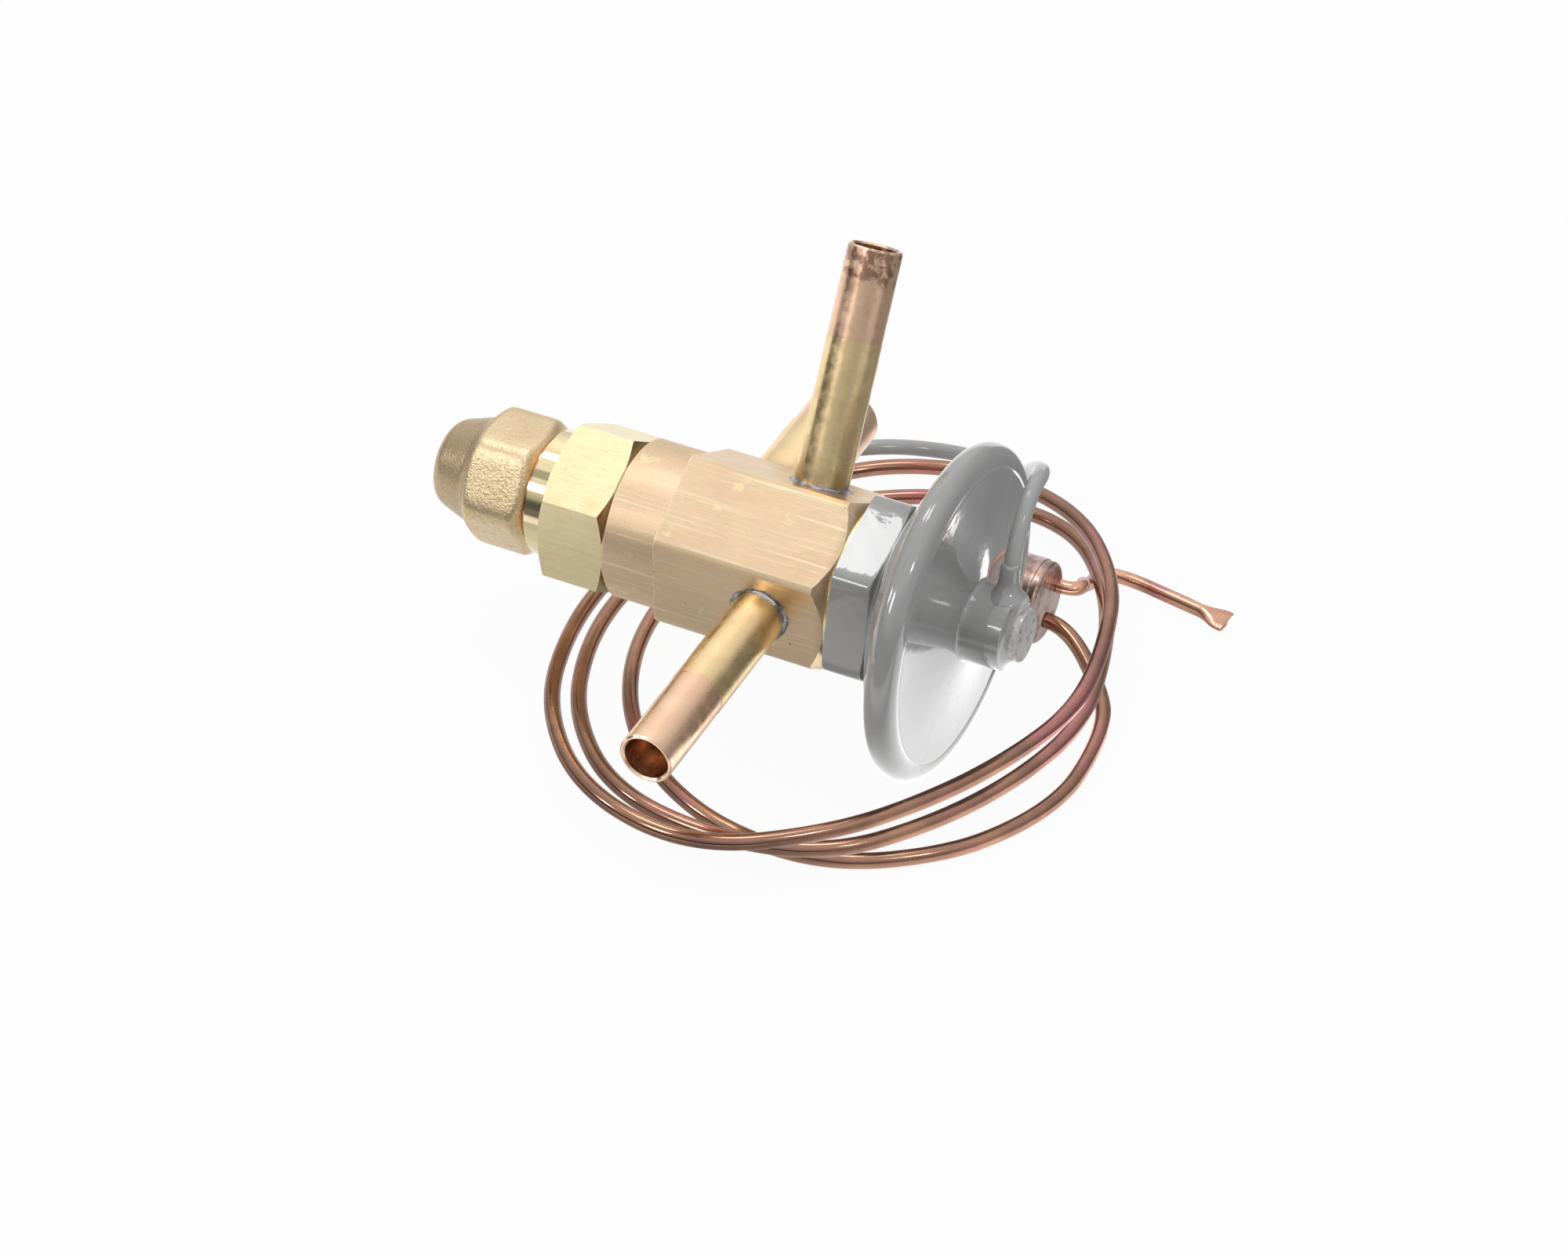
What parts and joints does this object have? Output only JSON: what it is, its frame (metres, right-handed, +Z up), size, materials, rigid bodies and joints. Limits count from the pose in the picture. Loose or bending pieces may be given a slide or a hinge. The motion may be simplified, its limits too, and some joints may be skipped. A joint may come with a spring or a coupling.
{
  "type": "expansion valve",
  "caption": "Brass thermostatic expansion valve with three solder sockets, grey power element, coiled capillary tube, copper sensing bulb and hexagonal seal cap.",
  "frame": {"origin": "on the floor under the middle of the rigid valve, which lies on the rim of its power element", "axes": "+X along the valve's axis towards the power element, +Y along the outlet tube, +Z up"},
  "size_m": [0.1061, 0.1018, 0.0667],
  "materials": {
    "body_brass": "satin, turned and milled, fine scratches",
    "bar_brass": "drawn bar, fine lengthwise lines",
    "cast_brass": "grainy hot-stamped skin",
    "copper": "drawn copper, heat-tinted near the body",
    "solder": "silver solder, smooth",
    "grey_enamel": "glossy grey enamel with runs",
    "capillary_copper": "dull brown copper, the first stretch painted grey",
    "bulb_copper": "dark heat-stained copper",
    "steel": "plain steel",
    "packing": "black packing"
  },
  "bodies": {
    "root": {"valve_body": "body_brass", "inlet_tube": "copper", "equalizer_tube": "copper", "outlet_tube": "copper", "inlet_solder": "solder", "equalizer_solder": "solder", "outlet_solder": "solder", "inlet_strainer": "steel", "valve_seat": "bar_brass", "spring_housing": "bar_brass", "stem_seal": "packing", "packing_gland": "bar_brass", "superheat_spring": "steel", "element_gasket": "bar_brass", "element_base": "grey_enamel", "element_cover": "grey_enamel", "diaphragm": "steel", "hub_boss": "grey_enamel", "capillary_braze": "grey_enamel", "capillary_tube": "capillary_copper", "bulb_shell": "bulb_copper", "bulb_end_cap": "bulb_copper", "charging_tail": "copper"},
    "cap_ring": {"cap_washer": "copper"},
    "cap": {"seal_cap": "cast_brass"},
    "stem": {"adjusting_stem": "steel"},
    "guide": {"spring_guide": "steel"},
    "pin_group": {"valve_pin": "steel", "pin_carrier": "steel", "push_rod_upper": "steel", "push_rod_lower": "steel", "buffer_plate": "steel"}
  },
  "joints": [
    {"name": "cap_slide", "type": "slide", "parent": "root", "child": "cap_ring", "axis": [-1, 0, 0], "range_m": [0, 0.007]},
    {"name": "cap_turn", "type": "hinge", "parent": "cap_ring", "child": "cap", "pos_m": [-0.03435, 0.0057, 0.02463], "axis": [-1, 0, 0], "range_deg": [0, 2520]},
    {"name": "stem_turn", "type": "hinge", "parent": "root", "child": "stem", "pos_m": [-0.02935, 0.0057, 0.02463], "axis": [1, 0, 0], "range_deg": [-1125, 1125]},
    {"name": "guide_slide", "type": "slide", "parent": "root", "child": "guide", "axis": [1, 0, 0], "range_m": [-0.0025, 0.0025], "deforming": ["superheat_spring"]},
    {"name": "pin_slide", "type": "slide", "parent": "root", "child": "pin_group", "axis": [-1, 0, 0], "range_m": [0, 0.0008], "stiffness_N_per_m": 3000, "springref_m": -0.001}
  ],
  "couplings": [
    {"joint": "cap_turn", "follows": "cap_slide", "rad_per_m": 6283.2},
    {"joint": "stem_turn", "follows": "guide_slide", "rad_per_m": 7853.9}
  ]
}
